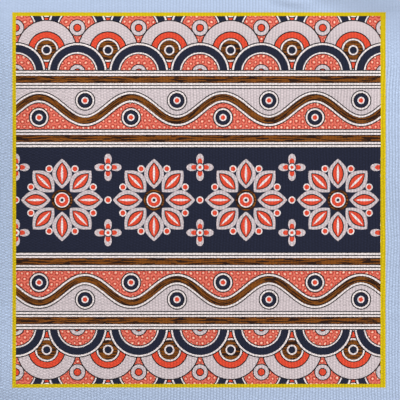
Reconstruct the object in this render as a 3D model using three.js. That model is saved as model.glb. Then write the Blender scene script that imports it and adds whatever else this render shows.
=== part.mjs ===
// A cut length of printed outdoor fabric, laid out flat.
// Millimetres, +Z up. The origin is on the surface the cloth lies on, under its middle.
// +X runs across the warp ribs, to the right in the photograph, and +Y runs along them, away from the viewer.
import * as THREE from "three";

// Driving dimensions
const CLOTH_WIDTH = 340;
const CLOTH_LENGTH = 340;
const CLOTH_THICKNESS = 1.2;
const FACET = 10; // side of the squares that follow the swells

// Light blue ground and dark print together, as seen from a step away
const CLOTH_COLOUR = "#8a7f8e";
const CLOTH_ROUGHNESS = 0.9;

// Places where the cloth stands a little off the surface. Each is an oval dome that fades to nothing at its rim.
// x, y: middle. along, across: half lengths of the oval. turn: degrees from +X to its long axis. rise: height.
const SWELLS = [
  { x: 142, y: 163, along: 108, across: 36, turn: -20, rise: 6.5 }, // ridge that runs into the far right corner
  { x: 76, y: 122, along: 92, across: 36, turn: -38, rise: 1.5 }, // lower ridge beside it
  { x: -124, y: 113, along: 67, across: 48, turn: 48, rise: 3.0 }, // far left quarter
  { x: 130, y: 62, along: 58, across: 40, turn: 74, rise: 2.2 }, // right of the middle
  { x: -172, y: 14, along: 90, across: 30, turn: 86, rise: 0.8 }, // left edge
  { x: 172, y: -66, along: 76, across: 30, turn: 94, rise: 1.6 }, // right edge
  { x: -160, y: -116, along: 66, across: 46, turn: -48, rise: 2.6 }, // near left quarter
  { x: 46, y: -172, along: 82, across: 27, turn: 3, rise: 1.3 }, // near edge
  { x: -64, y: 58, along: 84, across: 32, turn: 24, rise: 0.9 }, // shallow ridge left of the middle
];

// How far one swell lifts the cloth at a point
function swellHeight(swell, x, y) {
  const turn = THREE.MathUtils.degToRad(swell.turn);
  const dx = x - swell.x;
  const dy = y - swell.y;
  const a = (dx * Math.cos(turn) + dy * Math.sin(turn)) / swell.along;
  const b = (dy * Math.cos(turn) - dx * Math.sin(turn)) / swell.across;
  const inside = Math.max(0, 1 - a * a - b * b);
  return swell.rise * inside * inside;
}

function lift(x, y) {
  return SWELLS.reduce((sum, swell) => sum + swellHeight(swell, x, y), 0);
}

// A sheet of even thickness, resting on the surface and lifted at the swells
function sheetGeometry() {
  const geometry = new THREE.BoxGeometry(
    CLOTH_WIDTH,
    CLOTH_LENGTH,
    CLOTH_THICKNESS,
    Math.round(CLOTH_WIDTH / FACET),
    Math.round(CLOTH_LENGTH / FACET),
    1,
  );
  geometry.translate(0, 0, CLOTH_THICKNESS / 2);
  const points = geometry.getAttribute("position");
  for (let i = 0; i < points.count; i++) {
    points.setZ(i, points.getZ(i) + lift(points.getX(i), points.getY(i)));
  }
  geometry.computeVertexNormals();
  return geometry;
}

function makeCloth() {
  const material = new THREE.MeshStandardMaterial({
    color: CLOTH_COLOUR,
    roughness: CLOTH_ROUGHNESS,
    metalness: 0,
  });
  const cloth = new THREE.Mesh(sheetGeometry(), material);
  cloth.name = "printed_cloth";
  return cloth;
}

const fabricLength = new THREE.Group();
fabricLength.add(makeCloth());

export default fabricLength;
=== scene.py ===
"""A length of printed outdoor fabric, laid out flat.

Sizes are in millimetres and are turned to metres where a mesh is made.
"""
import math

import bpy
import numpy as np
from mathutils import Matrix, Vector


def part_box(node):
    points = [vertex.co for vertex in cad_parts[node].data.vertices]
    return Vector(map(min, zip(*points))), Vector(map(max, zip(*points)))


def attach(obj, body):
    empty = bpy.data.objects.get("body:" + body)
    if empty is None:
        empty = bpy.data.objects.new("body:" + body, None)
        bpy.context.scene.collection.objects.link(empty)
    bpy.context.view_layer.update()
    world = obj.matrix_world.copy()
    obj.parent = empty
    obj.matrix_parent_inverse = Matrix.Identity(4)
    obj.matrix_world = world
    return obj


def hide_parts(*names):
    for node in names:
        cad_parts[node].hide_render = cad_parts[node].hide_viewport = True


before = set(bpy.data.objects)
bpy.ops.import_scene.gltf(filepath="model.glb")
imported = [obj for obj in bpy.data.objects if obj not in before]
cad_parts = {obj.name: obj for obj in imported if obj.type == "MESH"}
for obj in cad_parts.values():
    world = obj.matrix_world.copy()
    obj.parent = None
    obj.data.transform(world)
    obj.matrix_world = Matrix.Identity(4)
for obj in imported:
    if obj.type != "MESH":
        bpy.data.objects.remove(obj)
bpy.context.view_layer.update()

MM = 0.001

# The cut, from the solid's own box
SOLID_LOW, SOLID_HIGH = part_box("printed_cloth")
CLOTH_WIDTH, CLOTH_LENGTH = (round((SOLID_HIGH[i] - SOLID_LOW[i]) / MM, 2) for i in (0, 1))
CLOTH_THICKNESS = 1.2

# How far the scissors wander, and how close to the cut edge the yarns stop wandering. Two waves make the
# path along the side edges (x) and along the near and far ones (y): the length of one radian of each, how
# slowly the second one changes across the cloth, and the start of the first in radians.
CUT_WANDER = 0.35
SCISSORS_X = (19.0, 43.0, 90.0, 0.0)
SCISSORS_Y = (23.0, 37.0, 80.0, 1.0)
EDGE_SHARPNESS = 14

# The corners that stay hard when the sheet is shaded smooth
SHARP_ANGLE = math.radians(60)

# The weave. Warp ribs run along Y, weft rows run along X.
WARP_RIBS = 150
WEFT_ROWS = 330
RIB_RELIEF = 0.24
POINTS_PER_RIB = 4

# The sheet's rows of points. They are closer together beyond CLOSE_ROWS_FROM, where the small creases are.
CLOSE_ROWS_FROM = 130.0
WIDE_ROWS = 61
CLOSE_ROWS = 19

# Where the cloth stands a little off the surface. Each is an oval dome that fades out at its rim.
# Middle x and y, half lengths along and across, turn in degrees from +X, and height.
SWELLS = (
    (142, 163, 108, 36, -20, 6.5),
    (76, 122, 92, 36, -38, 1.5),
    (-124, 113, 67, 48, 48, 3.0),
    (130, 62, 58, 40, 74, 2.2),
    (-172, 14, 90, 30, 86, 0.8),
    (172, -66, 76, 30, 94, 1.6),
    (-160, -116, 66, 46, -48, 2.6),
    (46, -172, 82, 27, 3, 1.3),
    (-64, 58, 84, 32, 24, 0.9),
)

# Small soft creases on top of the swells, in the same columns
CREASES = (
    (67, 150.5, 24, 7, -12, 2.6),
    (86, 155, 30, 11, 4, 1.0),
    (128, 158, 64, 20, -4, 2.5),
    (150, 44, 44, 60, 0, 1.5),
    (-146, -140, 60, 34, 0, 1.4),
    (96, 132, 30, 9, -34, 0.5),
    (-96, 150, 40, 9, 12, 0.5),
    (-150, 60, 34, 8, 70, 0.4),
    (150, 20, 40, 9, 82, 0.4),
    (12, -150, 46, 10, -6, 0.4),
)

# How the warp ribs wander sideways. Size, wavelength along Y, wavelength along X, and start in radians.
RIB_WAVES = (
    (0.85, 146, 410, 0.6),
    (0.38, 71, -230, 2.1),
    (0.16, 33, 96, 4.4),
)

# How the weft rows wander, in the same columns
ROW_WAVES = (
    (0.70, 520, 188, 1.2),
    (0.30, -340, 83, 3.0),
    (0.12, 120, 37, 5.1),
)

# Where the weave changes over the cloth. It calms down towards the far margin (y) and in the far right
# corner (x + y), and its ribs get firmer towards the right (x). Along the right edge's far half (x and y)
# the ribs run on unbroken.
FAR_CALM = (112.0, 140.0)
CORNER_CALM = (225.0, 270.0)
RIBS_FIRM = (-160.0, 20.0)
UNBROKEN_X = (50.0, 135.0)
UNBROKEN_Y = (-60.0, 60.0)

# How lively the weave is at the left, and what it loses where the ribs are firm, where they run on
# unbroken, and in the far margin
LEFT_LIVELY = 1.22
FIRM_LOSS = 0.48
UNBROKEN_LOSS = 0.5
FAR_LOSS = 0.8

# How high the yarns rise where they cross, and the least and the range of that in soft patches
WARP_CRIMP = 0.14
WEFT_CRIMP = -0.11
CRIMP_LEAST = 0.4
CRIMP_RANGE = 1.2
CRIMP_PATCH_SCALE = 0.16

# How round the weft rows are and how far they lie below the ribs
WEFT_ROUND = 0.16
WEFT_DEPTH = 0.11

# How deep the gaps between the ribs are at the left, what firm and unbroken ribs add, and the shares that
# the far margin and the far right corner take off
RIB_GAP = 0.08
FIRM_RIB_GAP = 0.28
UNBROKEN_RIB_GAP = 0.08
FAR_RIB_LOSS = 0.5
CORNER_RIB_LOSS = 0.75

# Painted shade on the yarns, darker where they lie low: a gap's height and a crown's, the painted shade down
# in a gap, and the painted shade where the lower weft shows instead of the warp.
GAP_HEIGHT = -0.40
CROWN_HEIGHT = 0.12
PAINTED_GAP_SHADE = 0.62
PAINTED_WEFT_SHADE = 0.89

# How much the tone changes from rib to rib, from row to row, along the fibres and with the slubs, and the
# tone that is always there
RIB_TONE = 0.06
ROW_TONE = 0.10
FIBRE_TONE = 0.26
SLUB_TONE = 0.52
EVEN_TONE = 0.79

# How much stronger the slubs are at the left than at the right
LEFT_SLUBS = 0.55

# Noise for the slubs, the ribs, the rows and the fibres: its scale, and what draws it out along a yarn
SLUB_SCALE = 0.7
RIB_NOISE = (0.83, 0.004)
ROW_NOISE = (0.71, 0.006)
WARP_FIBRES = (2.6, 0.12)
WEFT_FIBRES = (1.6, 0.16)
WARP_FIBRE_SHARE = 0.6
WEFT_FIBRE_SHARE = 0.4

# The yellow line's outer and inner edges, measured from the middle of the cloth
LINE_OUTER = {"left": -141.3, "right": 139.8, "bottom": -141.3, "top": 141.3}
LINE_INNER = {"left": -138.5, "right": 135.9, "bottom": -138.5, "top": 138.5}
FIELD_HALF = LINE_INNER["top"]

# The inks, in the order of the print's colour ramp
INKS = {
    "ground": "#b9cae6",
    "yellow": "#dabf08",
    "navy": "#22263a",
    "blush": "#d8cacd",
    "cream": "#f5e9e8",
    "black": "#0d0a10",
    "coral": "#e94f35",
    "salmon": "#ec7764",
    "rose": "#bf3e2e",
    "peach": "#ffd6bd",
    "brown": "#864c14",
    "umber": "#2e170c",
}
INK_NUMBER = {name: float(number) for number, name in enumerate(INKS)}

# The stripes on each side of a stripe group's middle, from the widest to the narrowest half width
STRIPES = (
    (7.15, "black"), (6.4, "cream"), (4.92, "black"), (4.12, "cream"), (2.75, "umber"), (2.2, "brown"),
)
STRIPES_AT = (46.3, 90.75)
RIBBON_AT = sum(STRIPES_AT) / 2
SCALLOPS_AT = 96.0

# The waving ribbon: half a wave's length, how far it swings, and the band that it keeps to
HALF_WAVE = FIELD_HALF / 4
WAVE_REACH = 8.9
RIBBON_BAND = 14.5
RIBBON = ((4.6, "black"), (3.85, "cream"), (2.5, "umber"), (2.0, "brown"))
BEND_DISC = ((7.7, "black"), (6.9, "cream"), (5.7, "black"), (5.0, "navy"), (2.7, "cream"), (1.7, "coral"))
DISC_OFF = 6.4

# The rosettes. A petal's ink is as wide as the petal's bulge times the first number, less the second.
ROSETTE_PITCH = FIELD_HALF / 2
PETAL_START = 8.6
PETAL_LENGTH = 22.4
PETAL = ((7.4, 0.0, "blush"), (7.4, 2.9, "black"), (7.4, 3.7, "coral"), (2.6, 1.7, "cream"))
ROSETTE_HEART = (
    (8.9, "navy"), (8.1, "umber"), (7.7, "brown"), (6.5, "black"), (5.7, "cream"), (4.8, "coral"),
    (2.2, "cream"), (1.1, "navy"),
)
BUD = ((2.7, "cream"), (1.8, "coral"))
BUD_OFF = 25.4
FLOWER_OFF = 24.6
FLOWER_PETAL = ((10.2, 0.0, "blush"), (7.4, 0.6, "coral"))
FLOWER_HEART = ((3.3, "navy"), (2.6, "cream"), (1.2, "coral"))

# The scallops, from the outermost radius inwards
SCALLOP_PITCH = FIELD_HALF / 3
SCALLOP_STEP = 16.8
NAVY_SCALLOP = (
    (22.8, "black"), (22.0, "cream"), (20.7, "navy"), (15.2, "cream"), (14.2, "black"), (13.5, "salmon"),
    (6.4, "black"), (5.7, "blush"), (3.1, "black"), (2.4, "coral"),
)
BLUSH_SCALLOP = (
    (22.8, "black"), (22.0, "blush"), (14.2, "black"), (13.4, "coral"), (9.4, "black"), (8.7, "cream"),
    (7.5, "umber"), (7.1, "brown"), (3.8, "cream"), (2.7, "navy"),
)

# The dots on the salmon: how far apart, how far astray and with what noise, and their rings
DOT_PITCH = 4.4
DOT_ASTRAY = 2.6
DOT_NOISE_SCALE = 0.16
DOT = ((1.8, "rose"), (1.25, "salmon"), (0.62, "peach"))

# The dark streaks in the brown: what draws them out, and the noise above which one shows
STREAK_DRAW = 0.07
STREAK_FROM = 0.515

# How far an ink creeps over its edge and with what noise, and how much of the print strikes through to
# the reverse
INK_CREEP = 0.22
CREEP_SCALE = 1.5
STRIKE_THROUGH = 0.16

# Two ink numbers that are closer than this are the same ink
SAME_INK = 0.3

# The cloth's faint sheen and gloss
SHEEN_ROUGHNESS = 0.55
GLOSS = 0.12

# Soft patches of painted shade, where the printed face is a little darker, or of painted light where the last
# number is negative.
# Middle x and y, half width, half length, and strength.
PAINTED_SHADE_AND_LIGHT_PATCHES = (
    (-150, 35, 40, 98, 0.085),
    (-152, 146, 30, 24, -0.05),
    (-150, -112, 40, 46, -0.045),
    (120, 152, 54, 22, 0.07),
    (150, 128, 40, 36, 0.06),
    (150, 62, 40, 85, -0.09),
)

# Where the face, the reverse and the cut edge lie in the OFBake map, from 0 to 1
FACE_SHARE = (0.2, 1.0)
REVERSE_SHARE = (0.0, 0.17)
EDGE_SHARE = (0.18, 0.19)

# The frayed yarn ends. Their lengths are in metres, as their tree takes them.
YARN_END_INPUTS = (
    ("Geometry", "Geometry"), ("Strands", "Int"), ("Strand Radius", "Float"), ("Spread", "Float"),
    ("Shortest", "Float"), ("Longest", "Float"), ("Ends On X", "Float"), ("Seed", "Int"),
)
WARP_END_SIZES = {
    "Strands": 6, "Strand Radius": 0.19 * MM, "Spread": 0.75 * MM, "Shortest": 0.9 * MM, "Longest": 2.4 * MM,
    "Ends On X": 0.0, "Seed": 3,
}
WEFT_END_SIZES = {
    "Strands": 4, "Strand Radius": 0.16 * MM, "Spread": 0.32 * MM, "Shortest": 0.9 * MM, "Longest": 2.1 * MM,
    "Ends On X": 1.0, "Seed": 8,
}
END_LEAN = 0.45
END_DROOP = -0.06
END_RISE = 0.16
END_LOOSENESS = 0.14 * MM
END_TAPER = 0.4
END_ROOT = 0.5
END_STAGGER = 0.12

# Soft square lights that face the middle of the cloth: place in metres, side in metres and power in watts
LIGHTS = {
    "far_light": ((0.05, 0.62, 0.60), 0.35, 6.15),
    "near_right_light": ((0.26, -0.36, 0.55), 0.35, 2.55),
    "left_light": ((-0.95, 0.25, 0.75), 0.6, 0.4),
}
SKY_STRENGTH = 0.19

# The floor, in metres, and the camera: the width of cloth in the frame, and its height in metres
FLOOR_HALF = 3.0
FLOOR_BELOW = 0.0004
FLOOR_COLOUR = (0.72, 0.71, 0.69, 1.0)
WIDTH_IN_FRAME = 301.2
CAMERA_HEIGHT = 2.4
SENSOR_WIDTH = 36.0


def lift(x, y):
    """How far the cloth stands off the surface at x, y."""
    height = np.zeros_like(x)
    for middle_x, middle_y, along, across, turn, rise in SWELLS + CREASES:
        angle = math.radians(turn)
        dx, dy = x - middle_x, y - middle_y
        a = (dx * math.cos(angle) + dy * math.sin(angle)) / along
        b = (dy * math.cos(angle) - dx * math.sin(angle)) / across
        height += rise * np.clip(1 - a * a - b * b, 0, None) ** 2
    return height


def wander(waves, x, y):
    """The sideways wander of the yarns at x, y."""
    total = np.zeros_like(x)
    for size, along, across, start in waves:
        total += size * np.sin(2 * math.pi * (y / along + x / across) + start)
    return total


def scissors(waves, along, across):
    """How far the scissors stray from the straight cut."""
    short, long, slow, start = waves
    return CUT_WANDER * np.sin(along / short + start) * np.sin(along / long + across / slow)


def inside_cut(place, length):
    """1 inside the cloth, falling to 0 at the cut edge."""
    return np.clip(1 - np.abs(place / (length / 2)) ** EDGE_SHARPNESS, 0, 1)


def sheet_points():
    """Where the sheet's points lie: on the flat cloth, as woven and cut, and by number of rib and row."""
    ribs = np.arange(WARP_RIBS * POINTS_PER_RIB + 1) / POINTS_PER_RIB
    plain_x = (ribs / WARP_RIBS - 0.5) * CLOTH_WIDTH
    wide_rows = np.linspace(-CLOTH_LENGTH / 2, CLOSE_ROWS_FROM, WIDE_ROWS, endpoint=False)
    plain_y = np.concatenate((wide_rows, np.linspace(CLOSE_ROWS_FROM, CLOTH_LENGTH / 2, CLOSE_ROWS + 1)))
    flat_x, flat_y = np.meshgrid(plain_x, plain_y)
    inside_x = inside_cut(flat_x, CLOTH_WIDTH)
    inside_y = inside_cut(flat_y, CLOTH_LENGTH)
    x = flat_x + wander(RIB_WAVES, flat_x, flat_y) * inside_x
    x = x + scissors(SCISSORS_X, flat_y, flat_x) * (1 - inside_x)
    y = flat_y + scissors(SCISSORS_Y, flat_x, flat_y) * (1 - inside_y)
    weft = (flat_y - wander(ROW_WAVES, flat_x, flat_y) * inside_y) / CLOTH_LENGTH + 0.5
    return flat_x, flat_y, x, y, np.broadcast_to(ribs, flat_x.shape), weft


def sheet_faces(rows, columns):
    """The faces of the closed sheet, and the number of each one's part: face 0, reverse 1, cut edge 2."""
    corner = (np.arange(rows - 1)[:, None] * columns + np.arange(columns - 1)[None, :]).ravel()
    face = np.stack((corner, corner + 1, corner + columns + 1, corner + columns), axis=1)
    count = rows * columns
    reverse = face[:, ::-1] + count
    near = np.arange(columns)
    far = near + (rows - 1) * columns
    left = np.arange(rows) * columns
    right = left + columns - 1
    rim = np.concatenate((near[:-1], right[:-1], far[:0:-1], left[:0:-1]))
    following = np.roll(rim, -1)
    edge = np.stack((rim, rim + count, following + count, following), axis=1)
    parts = np.repeat((0, 1, 2), (len(face), len(reverse), len(edge)))
    return np.concatenate((face, reverse, edge)), parts.astype(np.int32)


def add_map(mesh, name, u, v):
    """Adds a UV map from one u and one v for each corner of each face."""
    layer = mesh.uv_layers.new(name=name)
    layer.data.foreach_set("uv", np.stack((u, v), axis=1).ravel())


def part_of_map(share, place):
    """A place from 0 to 1 inside one part's share of the map."""
    low, high = share
    return place * (high - low) + low


def bake_places(u, v, parts):
    """The face, the reverse and the cut edge side by side, with the most room for the face."""
    part = np.repeat(parts, 4)
    across = u.copy()
    up = np.where(part == 0, part_of_map(FACE_SHARE, v), part_of_map(REVERSE_SHARE, v))
    count = np.count_nonzero(parts == 2)
    start = np.arange(count) / count
    across[part == 2] = np.stack((start, start, start + 1 / count, start + 1 / count), axis=1).ravel()
    below, above = EDGE_SHARE
    up[part == 2] = np.tile((above, below, below, above), count)
    return across, up


def make_cloth(materials):
    """One closed sheet: the printed face, the reverse and the cut edge between them."""
    flat_x, flat_y, x, y, ribs, weft = sheet_points()
    faces, parts = sheet_faces(*flat_x.shape)
    across_rib = ribs - np.floor(ribs)
    hollow = RIB_RELIEF * (2 * across_rib - 1) ** 2
    height = lift(x, y)
    layers = [np.stack((x, y, z), axis=2) for z in (height + CLOTH_THICKNESS - hollow, height + hollow)]
    mesh = bpy.data.meshes.new("cloth_sheet")
    mesh.from_pydata((np.concatenate(layers).reshape(-1, 3) * MM).tolist(), [], faces.tolist())

    def at_corners(values):
        return np.tile(values.ravel(), 2)[faces.ravel()]

    add_map(mesh, "print", at_corners(x / CLOTH_WIDTH + 0.5), at_corners(y / CLOTH_LENGTH + 0.5))
    add_map(mesh, "weave", at_corners(ribs / WARP_RIBS), at_corners(weft))
    flat_u, flat_v = at_corners(flat_x / CLOTH_WIDTH + 0.5), at_corners(flat_y / CLOTH_LENGTH + 0.5)
    add_map(mesh, "OFBake", *bake_places(flat_u, flat_v, parts))
    mesh.polygons.foreach_set("material_index", parts)
    mesh.shade_smooth()
    mesh.set_sharp_from_angle(angle=SHARP_ANGLE)
    mesh.validate()
    for material in materials:
        mesh.materials.append(material)
    return add_object("cloth_sheet", mesh)


def add_object(name, data):
    """Puts a mesh, lamp or camera into the scene."""
    added = bpy.data.objects.new(name, data)
    bpy.context.scene.collection.objects.link(added)
    return added


def feed(tree, socket, value):
    """Gives a socket an amount, another socket or a plain value."""
    if isinstance(value, Amount):
        value = value.socket
    if isinstance(value, bpy.types.NodeSocket):
        tree.links.new(value, socket)
    else:
        socket.default_value = value


class Amount:
    """A number that varies from place to place, held by a socket of a node tree."""

    def __init__(self, tree, socket):
        self.tree = tree
        self.socket = socket

    def __add__(self, other):
        return work_out("ADD", self, other)

    __radd__ = __add__

    def __sub__(self, other):
        return work_out("SUBTRACT", self, other)

    def __rsub__(self, other):
        return work_out("SUBTRACT", other, self)

    def __mul__(self, other):
        return work_out("MULTIPLY", self, other)

    __rmul__ = __mul__

    def __truediv__(self, other):
        return work_out("DIVIDE", self, other)

    def __abs__(self):
        return work_out("ABSOLUTE", self)

    def __lt__(self, other):
        return work_out("LESS_THAN", self, other)

    def __gt__(self, other):
        return work_out("GREATER_THAN", self, other)


def work_out(operation, *amounts):
    """A Math node on one, two or three amounts or plain numbers."""
    tree = next(amount.tree for amount in amounts if isinstance(amount, Amount))
    node = tree.nodes.new("ShaderNodeMath")
    node.operation = operation
    for socket, amount in zip(node.inputs, amounts):
        feed(tree, socket, amount)
    return Amount(tree, node.outputs["Value"])


def floor(amount):
    return work_out("FLOOR", amount)


def fraction(amount):
    return work_out("FRACT", amount)


def sine(amount):
    return work_out("SINE", amount)


def cosine(amount):
    return work_out("COSINE", amount)


def larger(one, other):
    return work_out("MAXIMUM", one, other)


def smaller(one, other):
    return work_out("MINIMUM", one, other)


def distance(x, y):
    return work_out("SQRT", x * x + y * y)


def every(amount, pitch, start=0.0):
    """The distance, plus or minus, from the nearest of a row of centres that are one pitch apart."""
    return (fraction(amount / pitch + (0.5 - start / pitch)) - 0.5) * pitch


def ramp_between(amount, low, high):
    """0 below low, 1 above high, smooth between."""
    node = amount.tree.nodes.new("ShaderNodeMapRange")
    node.interpolation_type = "SMOOTHSTEP"
    for name, value in (("From Min", low), ("From Max", high), ("Value", amount)):
        feed(amount.tree, node.inputs[name], value)
    return Amount(amount.tree, node.outputs["Result"])


def point(tree, x, y, z=0.0):
    """A vector socket from up to three amounts."""
    node = tree.nodes.new("ShaderNodeCombineXYZ")
    for socket, amount in zip(node.inputs, (x, y, z)):
        feed(tree, socket, amount)
    return node.outputs["Vector"]


def split_vector(tree, vector):
    """The x and y of a vector socket, as amounts."""
    node = tree.nodes.new("ShaderNodeSeparateXYZ")
    tree.links.new(vector, node.inputs["Vector"])
    return Amount(tree, node.outputs["X"]), Amount(tree, node.outputs["Y"])


def map_axes(tree, name):
    """The two coordinates of one of the cloth's UV maps, from 0 to 1."""
    node = tree.nodes.new("ShaderNodeUVMap")
    node.uv_map = name
    return split_vector(tree, node.outputs["UV"])


def mottle(tree, vector, scale, detail=2.0):
    """A Noise node at a place, with its three even channels as amounts."""
    node = tree.nodes.new("ShaderNodeTexNoise")
    for name, value in (("Scale", scale), ("Detail", detail), ("Vector", vector)):
        feed(tree, node.inputs[name], value)
    split = tree.nodes.new("ShaderNodeSeparateColor")
    tree.links.new(node.outputs["Color"], split.inputs["Color"])
    return [Amount(tree, split.outputs[name]) for name in ("Red", "Green", "Blue")]


def mixed(tree, blend, share, one, other):
    """Two colours mixed by a share, or one times the other."""
    node = tree.nodes.new("ShaderNodeMix")
    node.data_type = "RGBA"
    node.blend_type = blend
    for name, value in (("Factor", share), ("A", one), ("B", other)):
        feed(tree, node.inputs[name], value)
    return node.outputs["Result"]


def tinted(tree, colour, shade):
    """A colour times a shade."""
    return mixed(tree, "MULTIPLY", 1.0, colour, point(tree, shade, shade, shade))


def linear(colour):
    """A colour written as #rrggbb, as the linear colour that a node takes."""
    parts = [int(colour[i:i + 2], 16) / 255 for i in (1, 3, 5)]
    return [p / 12.92 if p <= 0.04045 else ((p + 0.055) / 1.055) ** 2.4 for p in parts] + [1.0]


def random_between(tree, low, high, seed):
    """A random number for each point or instance, between two amounts or plain numbers."""
    node = tree.nodes.new("FunctionNodeRandomValue")
    node.data_type = "FLOAT"
    for name, value in (("Min", low), ("Max", high)):
        feed(tree, next(i for i in node.inputs if i.name == name and i.type == "VALUE"), value)
    feed(tree, node.inputs["ID"], tree.nodes.new("GeometryNodeInputIndex").outputs["Index"])
    feed(tree, node.inputs["Seed"], seed)
    return Amount(tree, next(o for o in node.outputs if o.type == "VALUE"))


def add_node(tree, kind, **inputs):
    """A node with its inputs fed. An underscore in an input's name stands for a space."""
    node = tree.nodes.new(kind)
    for name, value in inputs.items():
        feed(tree, node.inputs[name.replace("_", " ")], value)
    return node


def yarn_ends_tree(material):
    """A tree that puts a small bundle of frayed strands on each point, facing out of the cloth."""
    tree = bpy.data.node_groups.new("yarn_ends", "GeometryNodeTree")
    for name, kind in YARN_END_INPUTS:
        tree.interface.new_socket(name, in_out="INPUT", socket_type="NodeSocket" + kind)
    tree.interface.new_socket("Geometry", in_out="OUTPUT", socket_type="NodeSocketGeometry")
    outputs = tree.nodes.new("NodeGroupInput").outputs
    given = {name: Amount(tree, outputs[name]) for name, _ in YARN_END_INPUTS}
    seed, radius = given["Seed"], given["Strand Radius"]

    on_x = given["Ends On X"]
    on_y = 1.0 - on_x
    place_x, place_y = split_vector(tree, tree.nodes.new("GeometryNodeInputPosition").outputs["Position"])
    lean = random_between(tree, -END_LEAN, END_LEAN, seed + 1)
    outward = point(
        tree,
        work_out("SIGN", place_x) * on_x + lean * on_y,
        work_out("SIGN", place_y) * on_y + lean * on_x,
        random_between(tree, END_DROOP, END_RISE, seed + 2),
    )
    align = add_node(tree, "FunctionNodeAlignRotationToVector", Vector=outward)
    align.axis = "Z"

    points = add_node(tree, "GeometryNodeMeshToPoints", Mesh=given["Geometry"])
    bundles = add_node(tree, "GeometryNodeDuplicateElements", Geometry=points.outputs["Points"])
    bundles.domain = "POINT"
    feed(tree, bundles.inputs["Amount"], given["Strands"])
    aside = random_between(tree, -1.0, 1.0, seed + 3) * given["Spread"]
    loose = random_between(tree, -END_LOOSENESS, END_LOOSENESS, seed + 4)
    spread = add_node(
        tree, "GeometryNodeSetPosition",
        Geometry=bundles.outputs["Geometry"], Offset=point(tree, aside * on_y, aside * on_x, loose),
    )
    strand = add_node(
        tree, "GeometryNodeMeshCone",
        Vertices=5, Side_Segments=2, Radius_Top=radius * END_TAPER, Radius_Bottom=radius, Depth=1.0,
    )
    length = random_between(tree, given["Shortest"], given["Longest"], seed + 5)
    placed = add_node(
        tree, "GeometryNodeInstanceOnPoints",
        Points=spread.outputs["Geometry"], Instance=strand.outputs["Mesh"],
        Rotation=align.outputs["Rotation"], Scale=point(tree, 1.0, 1.0, length),
    )
    real = add_node(tree, "GeometryNodeRealizeInstances", Geometry=placed.outputs["Instances"])
    finish = add_node(tree, "GeometryNodeSetMaterial", Geometry=real.outputs["Geometry"], Material=material)
    add_node(tree, "NodeGroupOutput", Geometry=finish.outputs["Geometry"])
    return tree


def yarn_end_points(warp):
    """A point at each yarn's end along two opposite cut edges, a little above or below the middle in turn."""
    count = WARP_RIBS if warp else WEFT_ROWS
    half = (CLOTH_LENGTH if warp else CLOTH_WIDTH) / 2 - END_ROOT
    along = ((np.arange(count) + 0.5) / count - 0.5) * (CLOTH_WIDTH if warp else CLOTH_LENGTH)
    raised = END_STAGGER * (-1) ** np.arange(count) * (1 if warp else -1)
    rows = []
    for side in (-1, 1):
        edge = np.full(count, side * half)
        x, y = (along, edge) if warp else (edge, along)
        rows.append(np.stack((x, y, lift(x, y) + CLOTH_THICKNESS / 2 + raised), axis=1))
    return np.concatenate(rows) * MM


def make_yarn_ends(name, tree, warp, sizes):
    """The yarn ends of two opposite cut edges, as one plain mesh."""
    mesh = bpy.data.meshes.new(name + "_points")
    mesh.from_pydata(yarn_end_points(warp).tolist(), [], [])
    ends = add_object(name, mesh)
    modifier = ends.modifiers.new("yarn ends", "NODES")
    modifier.node_group = tree
    for socket in tree.interface.items_tree:
        if socket.in_out == "INPUT" and socket.name in sizes:
            modifier[socket.identifier] = sizes[socket.name]
    graph = bpy.context.evaluated_depsgraph_get()
    finished = bpy.data.meshes.new_from_object(ends.evaluated_get(graph))
    ends.modifiers.remove(modifier)
    ends.data = finished
    finished.name = name
    finished.shade_smooth()
    return ends


def lay(ink, where, name):
    """Prints one ink over what is there, where the mask is 1."""
    return work_out("MULTIPLY_ADD", where, INK_NUMBER[name] - ink, ink)


def is_ink(ink, name):
    """1 where this ink is the one printed."""
    return work_out("COMPARE", ink, INK_NUMBER[name], SAME_INK)


def rings(ink, radius, table):
    """Prints a table of discs, each smaller than the one before."""
    for size, name in table:
        ink = lay(ink, radius < size, name)
    return ink


def petals(ink, off, bulge, table):
    """Prints a table of petals, each as wide as the bulge times its first number, less its second."""
    for wide, trim, name in table:
        ink = lay(ink, off < bulge * wide - trim, name)
    return ink


def rosettes(ink, x, y):
    """Eight-petalled rosettes in a row, with four-petalled flowers and dots between them."""
    eighth = math.pi / 4
    cell_x = every(x, ROSETTE_PITCH, ROSETTE_PITCH / 2)
    radius = distance(cell_x, y)
    turn = work_out("ARCTAN2", y, cell_x)
    fold = every(turn, eighth)
    step = (radius * cosine(fold) - PETAL_START) / PETAL_LENGTH
    ink = petals(ink, abs(radius * sine(fold)), step * (1 - step) * 4, PETAL)
    between = every(turn, eighth, eighth / 2)
    ink = rings(ink, distance(radius * sine(between), radius * cosine(between) - BUD_OFF), BUD)
    ink = rings(ink, radius, ROSETTE_HEART)
    side_x = every(x, ROSETTE_PITCH)
    side_y = abs(y) - FLOWER_OFF
    flower = distance(side_x, side_y)
    ink = petals(ink, flower, abs(cosine(work_out("ARCTAN2", side_y, side_x) * 2)), FLOWER_PETAL)
    ink = rings(ink, flower, FLOWER_HEART)
    return rings(ink, distance(side_x, y), BUD)


def ribbon_wave(x):
    """The height of the ribbon's middle line above its band's own zero."""
    return sine(x * (math.pi / HALF_WAVE)) * WAVE_REACH


def ribbon(ink, x, y):
    """A waving ribbon with blush on its far side and a ringed disc in each bend."""
    wave = ribbon_wave(x)
    slope = cosine(x * (math.pi / HALF_WAVE)) * (WAVE_REACH * math.pi / HALF_WAVE)
    off = abs(y - wave) / work_out("SQRT", slope * slope + 1)
    ink = lay(ink, y > wave, "blush")
    to_disc = distance(every(x, HALF_WAVE, HALF_WAVE / 2), y + work_out("SIGN", wave) * DISC_OFF)
    ink = rings(ink, to_disc, BEND_DISC)
    return rings(ink, off, RIBBON)


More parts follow.
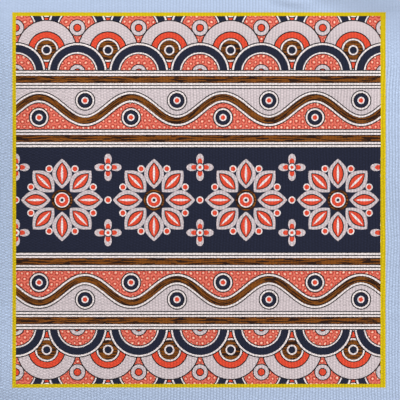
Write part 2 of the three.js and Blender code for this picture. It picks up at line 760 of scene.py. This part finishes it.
def scallops(ink, x, y):
    """Rows of overlapping scallops, the nearest to the middle line in front."""
    for row in (3, 2, 1, 0):
        odd = row % 2
        to_middle = distance(every(x, SCALLOP_PITCH, SCALLOP_PITCH / 2 * odd), y - SCALLOP_STEP * row)
        ink = rings(ink, to_middle, BLUSH_SCALLOP if odd else NAVY_SCALLOP)
    return ink


# The print's bands on each side of the middle line: where each starts, its ground, its motif and the
# motif's own zero
BANDS = (
    (0.0, "navy", rosettes, 0.0),
    (STRIPES_AT[0], "salmon", ribbon, RIBBON_AT),
    (STRIPES_AT[1], "blush", scallops, SCALLOPS_AT),
)


def salmon_dots(ink, x, y):
    """Peach dots in rose rings on the salmon, in uneven rows set off by half a pitch."""
    astray = mottle(ink.tree, point(ink.tree, x, y), DOT_NOISE_SCALE, 0.0)
    x = x + (astray[0] - 0.5) * DOT_ASTRAY
    y = y + (astray[1] - 0.5) * DOT_ASTRAY
    row = floor(y / DOT_PITCH)
    shift = work_out("MODULO", abs(row), 2.0) * (DOT_PITCH / 2)
    radius = distance(every(x + shift, DOT_PITCH), (fraction(y / DOT_PITCH) - 0.5) * DOT_PITCH)
    on_salmon = is_ink(ink, "salmon")
    for size, name in DOT:
        ink = lay(ink, on_salmon * (radius < size), name)
    return ink


def brown_streaks(ink, x, y):
    """Long dark streaks in the brown, as a brush leaves them. In the ribbon they follow its wave."""
    in_ribbon = abs(abs(y) - RIBBON_AT) < RIBBON_BAND
    level = abs(y) - in_ribbon * ribbon_wave(x)
    streak = mottle(ink.tree, point(ink.tree, x * STREAK_DRAW, level), 1.0)[2]
    return lay(ink, is_ink(ink, "brown") * (streak > STREAK_FROM), "umber")


def beyond(edges, x, y):
    """How far a point is outside a box. It is negative inside."""
    across = larger(edges["left"] - x, x - edges["right"])
    along = larger(edges["bottom"] - y, y - edges["top"])
    return larger(across, along)


def print_ink(tree, x, y):
    """The number of the ink at x, y of the cloth, in millimetres from its middle."""
    height = abs(y)
    ink = None
    for start, ground, motif, zero in BANDS:
        # The ground's number, as an amount that is the same everywhere
        bare = work_out("MULTIPLY_ADD", x, 0.0, INK_NUMBER[ground])
        drawn = motif(bare, x, height - zero)
        ink = drawn if ink is None else work_out("MULTIPLY_ADD", height > start, drawn - ink, ink)
    ink = rings(ink, smaller(abs(height - STRIPES_AT[0]), abs(height - STRIPES_AT[1])), STRIPES)
    ink = salmon_dots(ink, x, y)
    ink = brown_streaks(ink, x, y)
    ink = lay(ink, beyond(LINE_INNER, x, y) > 0.0, "yellow")
    return lay(ink, beyond(LINE_OUTER, x, y) > 0.0, "ground")


def ink_colour(tree, ink):
    """The colour of an ink number, from a ramp with one even step for each ink."""
    node = tree.nodes.new("ShaderNodeValToRGB")
    ramp = node.color_ramp
    ramp.interpolation = "CONSTANT"
    ramp.elements.remove(ramp.elements[1])
    for number, colour in enumerate(INKS.values()):
        step = ramp.elements[0] if number == 0 else ramp.elements.new(number / len(INKS))
        step.color = linear(colour)
    feed(tree, node.inputs["Fac"], (ink + 0.5) / float(len(INKS)))
    return node.outputs["Color"]


def weave_relief(tree, x, y):
    """The plain weave: its height in millimetres, its yarns, and how much of its warp shows at a point."""
    u, v = map_axes(tree, "weave")
    rib = u * float(WARP_RIBS)
    row = v * float(WEFT_ROWS)
    across_rib = fraction(rib) * 2 - 1
    across_row = fraction(row) * 2 - 1
    rib_round = across_rib * across_rib
    far = ramp_between(y, *FAR_CALM)
    firm = ramp_between(x, *RIBS_FIRM)
    corner = ramp_between(x + y, *CORNER_CALM)
    unbroken = ramp_between(x, *UNBROKEN_X) * ramp_between(y, *UNBROKEN_Y)
    lively = (1.0 - far * FAR_LOSS) * (LEFT_LIVELY - firm * FIRM_LOSS) * (1.0 - unbroken * UNBROKEN_LOSS)
    patches = mottle(tree, point(tree, x, y), CRIMP_PATCH_SCALE, 3.0)[2]
    crimp = lively * (patches * CRIMP_RANGE + CRIMP_LEAST)
    gap = firm * FIRM_RIB_GAP + unbroken * UNBROKEN_RIB_GAP + RIB_GAP
    ribbed = gap * (1.0 - far * FAR_RIB_LOSS) * (1.0 - corner * CORNER_RIB_LOSS)
    warp = cosine((row - 0.5 + floor(rib)) * math.pi) * crimp * WARP_CRIMP - rib_round * ribbed
    crossing = cosine((rib - 0.5 + floor(row)) * math.pi) * crimp * WEFT_CRIMP
    weft = crossing - across_row * across_row * WEFT_ROUND - WEFT_DEPTH
    return larger(warp, weft), rib, row, rib_round, lively * (warp > weft)


def fine_fibres(tree, x, y):
    """Fibre streaks along the warp and small slubs along both yarns."""
    scale, drawn = WARP_FIBRES
    along_warp = mottle(tree, point(tree, x, y * drawn), scale)[0]
    scale, drawn = WEFT_FIBRES
    along_weft = mottle(tree, point(tree, x * drawn, y), scale)[1]
    return along_warp * WARP_FIBRE_SHARE + along_weft * WEFT_FIBRE_SHARE


def yarn_tone_and_painted_shade(tree, height, rib, row, on_warp, x, y):
    """How light the yarn is: painted shade in the gaps and where the lower weft shows, and a tone that is a
    little uneven from yarn to yarn and along the fibres.
    """
    up = ramp_between(height, GAP_HEIGHT, CROWN_HEIGHT)
    scale, drawn = RIB_NOISE
    rib_tone = mottle(tree, point(tree, floor(rib), row * drawn), scale, 0.0)[0] * RIB_TONE
    scale, drawn = ROW_NOISE
    row_tone = mottle(tree, point(tree, rib * drawn, floor(row)), scale, 0.0)[1] * ROW_TONE
    uneven = 1.0 + LEFT_SLUBS - ramp_between(x, *RIBS_FIRM) * LEFT_SLUBS
    uneven = (1.0 - ramp_between(y, *FAR_CALM)) * uneven
    slubs = (mottle(tree, point(tree, x, y), SLUB_SCALE)[0] - 0.5) * uneven
    tone = rib_tone + row_tone + fine_fibres(tree, x, y) * FIBRE_TONE + slubs * SLUB_TONE
    # Painted shade: darker down in the gaps between the yarns and where the lower weft shows
    lit = up * (1.0 - PAINTED_GAP_SHADE) + PAINTED_GAP_SHADE
    return lit * (on_warp * (1.0 - PAINTED_WEFT_SHADE) + PAINTED_WEFT_SHADE) * (tone + EVEN_TONE)


def painted_shade_and_light(x, y):
    """Painted shade and light on the face: how bright it is at a point, where 1 is as bright as most of it.
    """
    bright = 1.0
    for middle_x, middle_y, half_width, half_length, strength in PAINTED_SHADE_AND_LIGHT_PATCHES:
        across = (x - float(middle_x)) / float(half_width)
        along = (y - float(middle_y)) / float(half_length)
        inside = larger(1.0 - across * across - along * along, 0.0)
        bright = bright - inside * inside * strength
    return bright


def new_material(name, roughness, sheen):
    """A dull material, with its tree and its shader."""
    material = bpy.data.materials.new(name)
    material.use_nodes = True
    shader = material.node_tree.nodes["Principled BSDF"]
    shader.inputs["Roughness"].default_value = roughness
    shader.inputs["Sheen Weight"].default_value = sheen
    shader.inputs["Sheen Roughness"].default_value = SHEEN_ROUGHNESS
    shader.inputs["Specular IOR Level"].default_value = GLOSS
    return material, material.node_tree, shader


def bumped(tree, shader, height):
    """Bumps the shader by a height in millimetres."""
    bump = add_node(tree, "ShaderNodeBump", Strength=1.0, Distance=MM, Height=height)
    tree.links.new(bump.outputs["Normal"], shader.inputs["Normal"])


def cloth_weave(tree, shader):
    """Bumps the shader by the weave, and gives x and y of the cloth in millimetres and the yarns' tone with
    its painted shade.
    """
    u, v = map_axes(tree, "print")
    x = (u - 0.5) * CLOTH_WIDTH
    y = (v - 0.5) * CLOTH_LENGTH
    height, rib, row, rib_round, on_warp = weave_relief(tree, x, y)
    bumped(tree, shader, height + rib_round * RIB_RELIEF)
    return x, y, yarn_tone_and_painted_shade(tree, height, rib, row, on_warp, x, y)


def face_material():
    """The print, with its inks crept a little into the yarns beside them."""
    material, tree, shader = new_material("printed_face", roughness=0.86, sheen=0.08)
    x, y, shade = cloth_weave(tree, shader)
    creep = mottle(tree, point(tree, x, y), CREEP_SCALE, 1.0)
    ink = print_ink(tree, x + (creep[0] - 0.5) * INK_CREEP, y + (creep[1] - 0.5) * INK_CREEP)
    # Painted shade from the yarns' gaps and the soft patches darkens the print, and painted light brightens
    # some patches
    feed(tree, shader.inputs["Base Color"], tinted(tree, ink_colour(tree, ink), shade * painted_shade_and_light(x, y)))
    return material


def reverse_material():
    """The unprinted ground, with the inks showing through faintly."""
    material, tree, shader = new_material("cloth_reverse", roughness=0.88, sheen=0.12)
    x, y, shade = cloth_weave(tree, shader)
    inks = ink_colour(tree, print_ink(tree, x, y))
    through = mixed(tree, "MIX", STRIKE_THROUGH, linear(INKS["ground"]), inks)
    # The yarns' tone carries painted shade in the gaps and on the lower weft
    feed(tree, shader.inputs["Base Color"], tinted(tree, through, shade))
    return material


def bare_yarn_material(name, sheen, grain_scale, detail, darkest, bump):
    """The ground's light blue yarn, with fine fibres in its colour and its surface."""
    material, tree, shader = new_material(name, roughness=0.9, sheen=sheen)
    grain = mottle(tree, tree.nodes.new("ShaderNodeTexCoord").outputs["Object"], grain_scale, detail)[0]
    feed(tree, shader.inputs["Base Color"], tinted(tree, linear(INKS["ground"]), grain * 0.5 + darkest))
    bumped(tree, shader, grain * bump)
    return material


def make_floor():
    """A plain pale floor, a hair below the cloth."""
    sides = ((-1, -1), (1, -1), (1, 1), (-1, 1))
    corners = [(x * FLOOR_HALF, y * FLOOR_HALF, -FLOOR_BELOW) for x, y in sides]
    mesh = bpy.data.meshes.new("floor")
    mesh.from_pydata(corners, [], [(0, 1, 2, 3)])
    material, _, shader = new_material("pale_floor", roughness=0.75, sheen=0.0)
    shader.inputs["Base Color"].default_value = FLOOR_COLOUR
    mesh.materials.append(material)
    return add_object("floor", mesh)


def light_the_studio():
    """The lights, each turned to the middle of the cloth, and an even white sky."""
    for name, (place, side, power) in LIGHTS.items():
        lamp = bpy.data.lights.new(name, "AREA")
        lamp.size = side
        lamp.energy = power
        light = add_object(name, lamp)
        light.visible_camera = False
        light.location = place
        away = np.array(place) / np.linalg.norm(place)
        light.rotation_euler = (math.acos(away[2]), 0.0, math.atan2(away[0], -away[1]))
    world = bpy.data.worlds.new("studio")
    world.use_nodes = True
    sky = world.node_tree.nodes["Background"]
    sky.inputs["Color"].default_value = (1.0, 1.0, 1.0, 1.0)
    sky.inputs["Strength"].default_value = SKY_STRENGTH
    bpy.context.scene.world = world


def set_camera():
    """Straight above the cloth, with the photograph's width of cloth across the frame."""
    camera_data = bpy.data.cameras.new("camera")
    camera_data.sensor_width = SENSOR_WIDTH
    camera_data.lens = SENSOR_WIDTH * (CAMERA_HEIGHT / MM - CLOTH_THICKNESS) / WIDTH_IN_FRAME
    camera = add_object("camera", camera_data)
    camera.location = (0.0, 0.0, CAMERA_HEIGHT)
    bpy.context.scene.camera = camera


cut_edge = bare_yarn_material(
    "cut_edge", sheen=0.15, grain_scale=1400.0, detail=3.0, darkest=0.58, bump=0.12,
)
cloth = make_cloth((face_material(), reverse_material(), cut_edge))
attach(cloth, "root")
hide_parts("printed_cloth")

yarn_end = bare_yarn_material(
    "yarn_end", sheen=0.2, grain_scale=2600.0, detail=2.0, darkest=0.66, bump=0.06,
)
ends_tree = yarn_ends_tree(yarn_end)
warp_ends = make_yarn_ends("warp_ends", ends_tree, True, WARP_END_SIZES)
weft_ends = make_yarn_ends("weft_ends", ends_tree, False, WEFT_END_SIZES)
for ends in (warp_ends, weft_ends):
    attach(ends, "root")

make_floor()
light_the_studio()
set_camera()
bpy.context.scene.view_settings.view_transform = "Standard"
